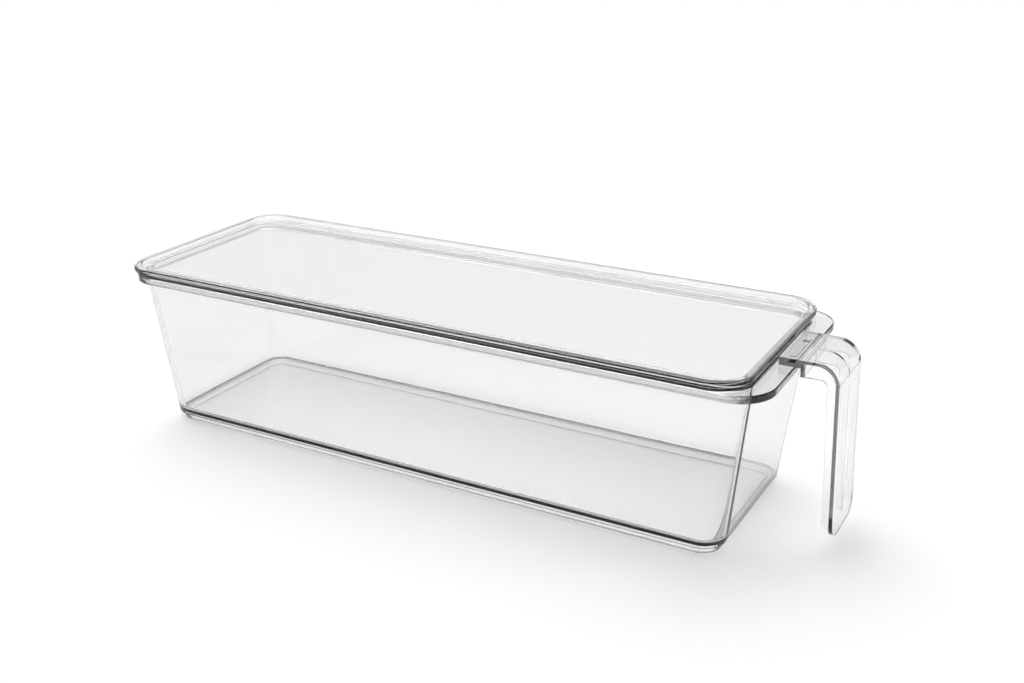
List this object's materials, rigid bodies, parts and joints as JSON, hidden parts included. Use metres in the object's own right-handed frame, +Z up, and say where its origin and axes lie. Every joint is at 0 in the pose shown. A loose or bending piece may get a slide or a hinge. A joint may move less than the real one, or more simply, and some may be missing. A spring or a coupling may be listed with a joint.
{
  "type": "refrigerator bin",
  "caption": "Clear lidded refrigerator storage bin, long and narrow, with tapered walls, a rim flange and a hooked front pull handle.",
  "frame": {"origin": "middle of the footprint of the whole bin with its lid and handle, on the shelf it stands on", "axes": "+X along the bin's length towards the handle, +Y across it, +Z up"},
  "size_m": [0.3822, 0.1224, 0.0928],
  "materials": {
    "clear_tub": "clear, polished",
    "clear_lid": "clear, polished",
    "clear_handle": "clear, polished"
  },
  "bodies": {
    "bin": {"bin_tub": "clear_tub", "handle": "clear_handle"},
    "lid": {"lid": "clear_lid"}
  },
  "joints": [
    {"name": "lid_lift", "type": "slide", "parent": "bin", "child": "lid", "axis": [0, 0, 1], "range_m": [0, 0.06]}
  ]
}
